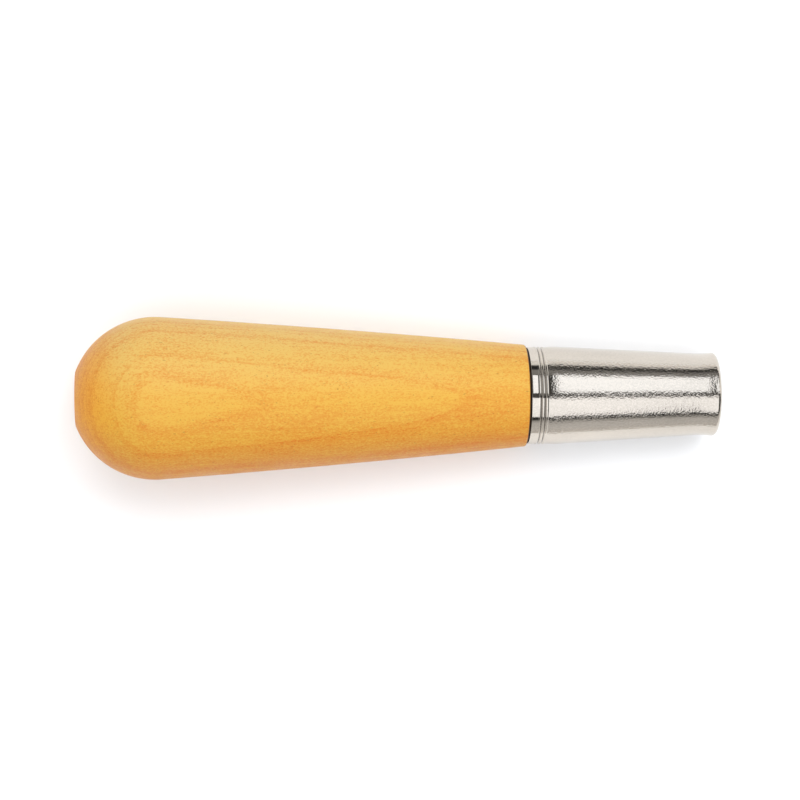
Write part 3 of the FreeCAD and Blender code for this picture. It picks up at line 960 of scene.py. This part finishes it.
def glowing_reflection_card(tone):
    """A warm grey card that glows with the same light everywhere: a painted reflection in the
    metal.
    """
    material, tree, shader = new_material("glowing_reflection_card")
    light, dark = (tone, tone * 0.98, tone * 0.96), (tone * 0.94, tone * 0.92, tone * 0.9)
    glow = {"Emission Color": clouded(tree, 8.0, light, dark), "Emission Strength": 1.0}
    feed(tree, shader, {**glow, "Base Color": (0.0, 0.0, 0.0, 1.0), "Specular IOR Level": 0.0})
    return material


def level_sheet(name, length, width, place, material):
    """A level rectangle of the stage round a place, out of the part itself."""
    bm = bmesh.new()
    bmesh.ops.create_grid(bm, x_segments=1, y_segments=1, size=0.5)
    bmesh.ops.scale(bm, vec=(length, width, 1.0), verts=bm.verts[:])
    bmesh.ops.translate(bm, vec=place, verts=bm.verts[:])
    mesh = bpy.data.meshes.new(name)
    bm.to_mesh(mesh)
    bm.free()
    mesh.materials.append(material)
    sheet = bpy.data.objects.new(name, mesh)
    bpy.context.scene.collection.objects.link(sheet)
    sheet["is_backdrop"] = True
    return sheet


def soft_light(name, size, place, strength, tint=(1.0, 1.0, 1.0)):
    """A soft box of an even brightness, level over the table."""
    light = bpy.data.lights.new(name, "AREA")
    light.shape = "RECTANGLE"
    light.size, light.size_y = size
    light.energy = strength * math.pi * light.size * light.size_y
    light.color = tint
    lamp = bpy.data.objects.new(name, light)
    lamp.location = place
    lamp.visible_camera = False
    bpy.context.scene.collection.objects.link(lamp)
    return lamp


def soft_light_over(name, height, sides, ends, strength, tint):
    """A soft box over the tool that covers the given angles from overhead, across and along it."""
    near, far = (height * math.tan(math.radians(a)) for a in sides)
    back, front = (height * math.tan(math.radians(a)) for a in ends)
    size = (front - back, abs(far - near))
    place = ((back + front) / 2, (near + far) / 2, height)
    return soft_light(name, size, place, strength, tint)


def pale_room(strength):
    """The room: even light on the object, and walls with dark gaps where metal mirrors it."""
    world = bpy.data.worlds.new("Pale room")
    world.use_nodes = True
    tree = world.node_tree
    tree.nodes.clear()
    direction = add(tree, "ShaderNodeTexCoord").outputs["Generated"]
    parts = add(tree, "ShaderNodeSeparateXYZ", {0: direction})
    around = math_of(tree, "ARCTAN2", parts.outputs[1], parts.outputs[2])
    turned = math_of(tree, "MULTIPLY_ADD", around, 1 / math.tau, 0.5)
    # Brightness of the walls by the angle from overhead, in degrees towards the far side
    tones = (
        ((-92, 0.60), (-70, 0.54), (-64, 0.36), (-60, 0.03), (-52, 0.03), (-48, 0.10))
        + ((-10, 0.10), (-6, 0.07), (4, 0.07), (10, 0.05), (47, 0.05), (52, 0.22))
        + ((62, 0.23), (66, 0.02), (75, 0.03), (79, 0.85), (92, 0.92))
    )
    walls = ramp(tree, turned, *((angle / 360.0 + 0.5, tone) for angle, tone in tones))
    lengthwise = math_of(tree, "ABSOLUTE", parts.outputs[0])
    ends = remapped(tree, lengthwise, 0.72, 0.92)
    gable = remapped(tree, parts.outputs[1], -0.06, 0.06, 0.03, 0.95)
    seen = mixed(tree, ends, walls, gable)
    behind_the_butt = remapped(tree, parts.outputs[0], -0.3, -0.6)
    back_wall = (0.55, 0.55, 0.55, 1.0)
    seen = mixed(tree, behind_the_butt, seen, back_wall)
    path = add(tree, "ShaderNodeLightPath")
    overhead = remapped(tree, parts.outputs[2], 0.0, 1.0, 0.1, 0.75, "LINEAR")
    even = mixed(tree, path.outputs["Is Diffuse Ray"], seen, overhead)
    rising = remapped(tree, parts.outputs[2], 0.0, 0.2, 0.48, 0.85)
    backdrop = mixed(tree, path.outputs["Is Camera Ray"], even, rising)
    shader = add(tree, "ShaderNodeBackground", {"Color": backdrop, "Strength": strength})
    output = tree.nodes.new("ShaderNodeOutputWorld")
    tree.links.new(shader.outputs[0], output.inputs[0])
    bpy.context.scene.world = world


class LINO_OT_stage(bpy.types.Operator):
    """Lay out the pale table, the soft lights and the camera"""

    bl_idname = "lino.stage"
    bl_label = "Lay out the stage"

    def execute(self, context):
        stage = context.scene.lino_stage
        low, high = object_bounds()
        side, centre = 8.0, (0.0, 0.0, 0.0)
        level_sheet("table_top", side, side, centre, pale_table(stage.table_tone))

        height = stage.lights_height
        cool, cooler = (0.97, 1.0, 1.06), (0.95, 1.0, 1.08)
        for name, sides, ends, strength, tint in (
            ("far_softbox", (5, 48.5), (10, 52), stage.key_strength, cooler),
            ("far_core", (9, 38), (12, 36), stage.core_strength, cooler),
            ("near_softbox", (-6, -52.5), (-35, 33), stage.fill_strength, cool),
        ):
            soft_light_over(name, height, sides, ends, strength, tint)

        # Painted reflection: a glowing grey sheet on the near side, unseen by the camera and by
        # diffuse light, shows only in the metal's reflections.
        length, depth = 3.0, 1.0
        place = (0.0, -depth / 2 - stage.card_distance, MM)
        card = level_sheet("glowing_reflection_card", length, depth, place, glowing_reflection_card(stage.card_glow))
        card.visible_camera = False
        card.visible_diffuse = False
        card.visible_shadow = False
        size, place, tilt = (1.4, 1.0), (0.15, 0.8, 1.25), math.radians(-33)
        bounce = soft_light("bounce", size, place, stage.bounce_strength)
        bounce.rotation_euler = (tilt, 0.0, 0.0)
        bounce.visible_glossy = False
        pale_room(stage.room_strength)

        camera = bpy.data.cameras.new("camera")
        camera.lens = stage.lens
        camera.sensor_width = 36.0
        eye = bpy.data.objects.new("camera", camera)
        middle, aside = (Vector(low) + Vector(high)) / 2, Vector((0.32, -0.67, 0.0)) * MM
        eye.location = middle + aside
        eye.location.z = stage.camera_height
        roll_of_camera = math.radians(-0.435)
        eye.rotation_euler = (0.0, 0.0, roll_of_camera)
        context.scene.collection.objects.link(eye)
        context.scene.camera = eye
        context.scene.view_settings.view_transform = "Standard"
        return {"FINISHED"}


class LINO_PT_handle(bpy.types.Panel):
    """The handle's pieces and their sizes"""

    bl_idname = "LINO_PT_handle"
    bl_label = "Lino cutter handle"
    bl_space_type = "VIEW_3D"
    bl_region_type = "UI"
    bl_category = "Lino cutter"

    def draw(self, context):
        scene = context.scene
        rows = (
            (LINO_OT_grip, scene.lino_grip),
            (LINO_OT_ferrule, scene.lino_ferrule),
            (LINO_OT_sleeve, None),
            (LINO_OT_crown, None),
            (LINO_OT_rivet, scene.lino_socket),
            (LINO_OT_stage, scene.lino_stage),
        )
        for operator, group in rows:
            box = self.layout.box()
            box.operator(operator.bl_idname)
            if group is not None:
                for key in group.__annotations__:
                    box.prop(group, key)


def settings(context):
    scene = context.scene
    return scene.lino_grip, scene.lino_ferrule, scene.lino_socket


GROUPS = (
    ("lino_grip", LINO_PG_grip),
    ("lino_ferrule", LINO_PG_ferrule),
    ("lino_socket", LINO_PG_socket),
    ("lino_stage", LINO_PG_stage),
)
CLASSES = (
    LINO_PG_grip,
    LINO_PG_ferrule,
    LINO_PG_socket,
    LINO_PG_stage,
    LINO_OT_grip,
    LINO_OT_ferrule,
    LINO_OT_sleeve,
    LINO_OT_crown,
    LINO_OT_rivet,
    LINO_OT_stage,
    LINO_PT_handle,
)


def register():
    for cls in CLASSES:
        bpy.utils.register_class(cls)
    for name, group in GROUPS:
        setattr(bpy.types.Scene, name, PointerProperty(type=group))


def unregister():
    for name, _ in GROUPS:
        delattr(bpy.types.Scene, name)
    for cls in reversed(CLASSES):
        bpy.utils.unregister_class(cls)


def main():
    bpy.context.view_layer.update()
    register()
    bpy.ops.lino.stage()
    bpy.ops.lino.grip()
    bpy.ops.lino.ferrule()
    bpy.ops.lino.sleeve()
    bpy.ops.lino.crown()
    bpy.ops.lino.rivet()


if __name__ == "__main__":
    main()
